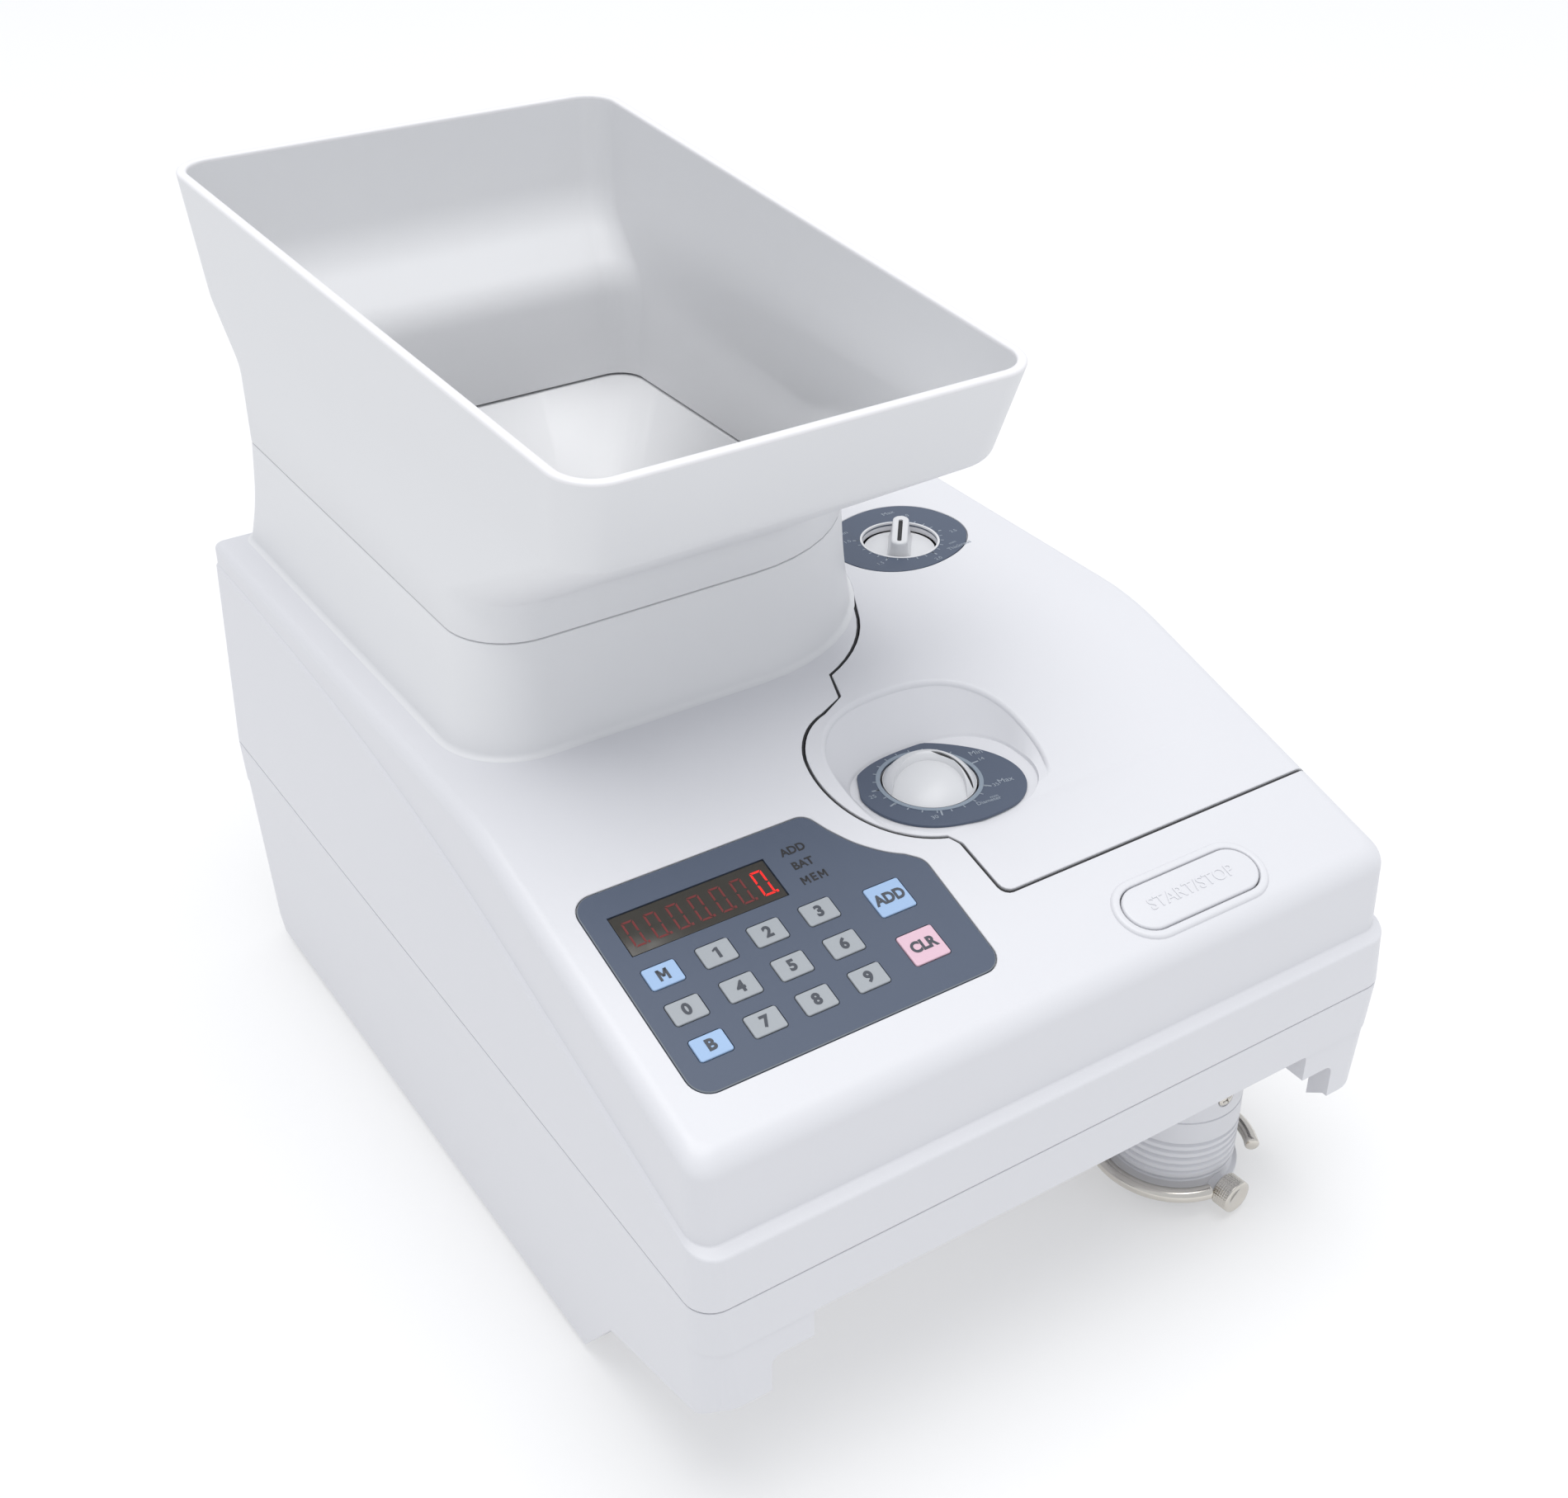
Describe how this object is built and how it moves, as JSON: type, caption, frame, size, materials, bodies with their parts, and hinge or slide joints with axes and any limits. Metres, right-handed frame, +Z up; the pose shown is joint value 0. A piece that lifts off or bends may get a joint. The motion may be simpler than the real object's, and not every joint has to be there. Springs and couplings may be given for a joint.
{
  "type": "coin counter",
  "caption": "Portable coin counter with a lift-off hopper tray, sloping keypad front, two setting dials and a bag tube.",
  "frame": {"origin": "middle of the footprint, on the surface the machine stands on", "axes": "+X to the right of the person facing the keypad, +Y to the back, +Z up"},
  "size_m": [0.24, 0.335, 0.2854],
  "materials": {
    "shell_plastic": "satin moulded plastic, cool white",
    "hopper_plastic": "satin moulded plastic, light grey",
    "panel_print": "printed film, slate blue",
    "key_grey": "printed key, light grey",
    "key_blue": "printed key, pale blue",
    "key_pink": "printed key, pale pink",
    "dark_window": "smoked clear plastic over unlit digits",
    "knob_plastic": "moulded knob, white",
    "nickel": "polished nickel plate",
    "steel": "zinc plated sheet and turned steel",
    "aluminium": "machined aluminium",
    "rubber": "black rubber",
    "black_plastic": "black moulded plastic",
    "circuit_board": "green board lacquer"
  },
  "bodies": {
    "frame": {"base_shell": "shell_plastic", "rear_panel": "shell_plastic", "upper_shell": "shell_plastic", "bag_tube": "shell_plastic", "hopper_collar": "hopper_plastic", "hopper_funnel": "hopper_plastic", "keypad_panel": "panel_print", "display_window": "dark_window", "bag_clamp_ring": "nickel", "cover_hinge_pin": "steel", "deck_plate": "steel", "coin_rail": "steel", "disc_bearing": "steel", "drive_motor": "steel", "motor_bracket": "steel", "power_supply": "steel", "gate_bridge": "aluminium", "disc_bowl": "aluminium", "drive_belt": "rubber", "foot_front_left": "rubber", "foot_front_right": "rubber", "foot_rear_left": "rubber", "foot_rear_right": "rubber", "button_switch": "black_plastic", "count_sensor": "black_plastic", "power_inlet": "black_plastic", "switch_frame": "black_plastic", "control_board": "circuit_board", "keypad_board": "circuit_board"},
    "cover": {"coin_path_cover": "shell_plastic", "diameter_dial_plate": "panel_print", "thickness_dial_plate": "panel_print"},
    "tray": {"hopper_tray": "hopper_plastic"},
    "start_button": {"start_stop_button": "shell_plastic"},
    "diameter_dial": {"diameter_knob": "knob_plastic"},
    "diameter_slide": {"diameter_guide": "steel"},
    "thickness_dial": {"thickness_knob": "knob_plastic"},
    "thickness_slide": {"thickness_gate": "steel"},
    "disc": {"feed_disc": "rubber", "disc_shaft": "steel", "disc_pulley": "aluminium"},
    "motor_rotor": {"motor_pulley": "steel"},
    "thumb_screw": {"clamp_thumb_screw": "nickel"},
    "rocker": {"power_switch": "black_plastic"},
    "fuse": {"fuse_cap": "black_plastic"},
    "key_M_cap": {"key_M": "key_blue"},
    "key_1_cap": {"key_1": "key_grey"},
    "key_2_cap": {"key_2": "key_grey"},
    "key_3_cap": {"key_3": "key_grey"},
    "key_0_cap": {"key_0": "key_grey"},
    "key_4_cap": {"key_4": "key_grey"},
    "key_5_cap": {"key_5": "key_grey"},
    "key_6_cap": {"key_6": "key_grey"},
    "key_B_cap": {"key_B": "key_blue"},
    "key_7_cap": {"key_7": "key_grey"},
    "key_8_cap": {"key_8": "key_grey"},
    "key_9_cap": {"key_9": "key_grey"},
    "key_ADD_cap": {"key_ADD": "key_blue"},
    "key_CLR_cap": {"key_CLR": "key_pink"}
  },
  "joints": [
    {"name": "key_M_press", "type": "slide", "parent": "frame", "child": "key_M_cap", "axis": [0, 0.2736, -0.9618], "range_m": [0, 0.0004], "stiffness_N_per_m": 900},
    {"name": "key_1_press", "type": "slide", "parent": "frame", "child": "key_1_cap", "axis": [0, 0.2736, -0.9618], "range_m": [0, 0.0004], "stiffness_N_per_m": 900},
    {"name": "key_2_press", "type": "slide", "parent": "frame", "child": "key_2_cap", "axis": [0, 0.2736, -0.9618], "range_m": [0, 0.0004], "stiffness_N_per_m": 900},
    {"name": "key_3_press", "type": "slide", "parent": "frame", "child": "key_3_cap", "axis": [0, 0.2736, -0.9618], "range_m": [0, 0.0004], "stiffness_N_per_m": 900},
    {"name": "key_0_press", "type": "slide", "parent": "frame", "child": "key_0_cap", "axis": [0, 0.2736, -0.9618], "range_m": [0, 0.0004], "stiffness_N_per_m": 900},
    {"name": "key_4_press", "type": "slide", "parent": "frame", "child": "key_4_cap", "axis": [0, 0.2736, -0.9618], "range_m": [0, 0.0004], "stiffness_N_per_m": 900},
    {"name": "key_5_press", "type": "slide", "parent": "frame", "child": "key_5_cap", "axis": [0, 0.2736, -0.9618], "range_m": [0, 0.0004], "stiffness_N_per_m": 900},
    {"name": "key_6_press", "type": "slide", "parent": "frame", "child": "key_6_cap", "axis": [0, 0.2736, -0.9618], "range_m": [0, 0.0004], "stiffness_N_per_m": 900},
    {"name": "key_B_press", "type": "slide", "parent": "frame", "child": "key_B_cap", "axis": [0, 0.2736, -0.9618], "range_m": [0, 0.0004], "stiffness_N_per_m": 900},
    {"name": "key_7_press", "type": "slide", "parent": "frame", "child": "key_7_cap", "axis": [0, 0.2736, -0.9618], "range_m": [0, 0.0004], "stiffness_N_per_m": 900},
    {"name": "key_8_press", "type": "slide", "parent": "frame", "child": "key_8_cap", "axis": [0, 0.2736, -0.9618], "range_m": [0, 0.0004], "stiffness_N_per_m": 900},
    {"name": "key_9_press", "type": "slide", "parent": "frame", "child": "key_9_cap", "axis": [0, 0.2736, -0.9618], "range_m": [0, 0.0004], "stiffness_N_per_m": 900},
    {"name": "key_ADD_press", "type": "slide", "parent": "frame", "child": "key_ADD_cap", "axis": [0, 0.2736, -0.9618], "range_m": [0, 0.0004], "stiffness_N_per_m": 900},
    {"name": "key_CLR_press", "type": "slide", "parent": "frame", "child": "key_CLR_cap", "axis": [0, 0.2736, -0.9618], "range_m": [0, 0.0004], "stiffness_N_per_m": 900},
    {"name": "start_button_press", "type": "slide", "parent": "frame", "child": "start_button", "axis": [0, 0.2736, -0.9618], "range_m": [0, 0.002], "stiffness_N_per_m": 500},
    {"name": "cover_hinge", "type": "hinge", "parent": "frame", "child": "cover", "pos_m": [0, 0.134, 0.159], "axis": [-1, 0, 0], "range_deg": [0, 12]},
    {"name": "tray_lift", "type": "slide", "parent": "frame", "child": "tray", "axis": [0, 0, 1], "range_m": [0, 0.06]},
    {"name": "diameter_knob_turn", "type": "hinge", "parent": "frame", "child": "diameter_dial", "pos_m": [0.0115, -0.0805, 0.149], "axis": [0, 0, -1], "range_deg": [0, 315]},
    {"name": "diameter_guide_slide", "type": "slide", "parent": "frame", "child": "diameter_slide", "axis": [1, 0, 0], "range_m": [0, 0.021]},
    {"name": "thickness_knob_turn", "type": "hinge", "parent": "frame", "child": "thickness_dial", "pos_m": [0.0755, 0.0229, 0.16], "axis": [0, 0, 1], "range_deg": [-81, 189]},
    {"name": "thickness_gate_slide", "type": "slide", "parent": "frame", "child": "thickness_slide", "axis": [0, 0, 1], "range_m": [-0.0006, 0.0014]},
    {"name": "disc_spin", "type": "hinge", "parent": "frame", "child": "disc", "pos_m": [-0.0285, 0.0545, 0.13], "axis": [0, 0, 1], "continuous": true},
    {"name": "motor_spin", "type": "hinge", "parent": "frame", "child": "motor_rotor", "pos_m": [0.06, 0.0825, 0.1], "axis": [0, 0, 1], "continuous": true},
    {"name": "clamp_screw_turn", "type": "hinge", "parent": "frame", "child": "thumb_screw", "pos_m": [0.08227, -0.1534, 0.0084], "axis": [0.0872, -0.9962, 0], "range_deg": [0, 360]},
    {"name": "power_rocker", "type": "hinge", "parent": "frame", "child": "rocker", "pos_m": [-0.039, 0.1498, 0.036], "axis": [1, 0, 0], "range_deg": [-10, 10]},
    {"name": "fuse_cap_turn", "type": "hinge", "parent": "frame", "child": "fuse", "pos_m": [-0.011, 0.1515, 0.036], "axis": [0, 1, 0], "range_deg": [0, 90]}
  ],
  "couplings": [
    {"joint": "diameter_knob_turn", "follows": "diameter_guide_slide", "rad_per_m": 261.79},
    {"joint": "thickness_knob_turn", "follows": "thickness_gate_slide", "rad_per_m": 2356},
    {"joint": "motor_spin", "follows": "disc_spin", "ratio": 3.4}
  ]
}
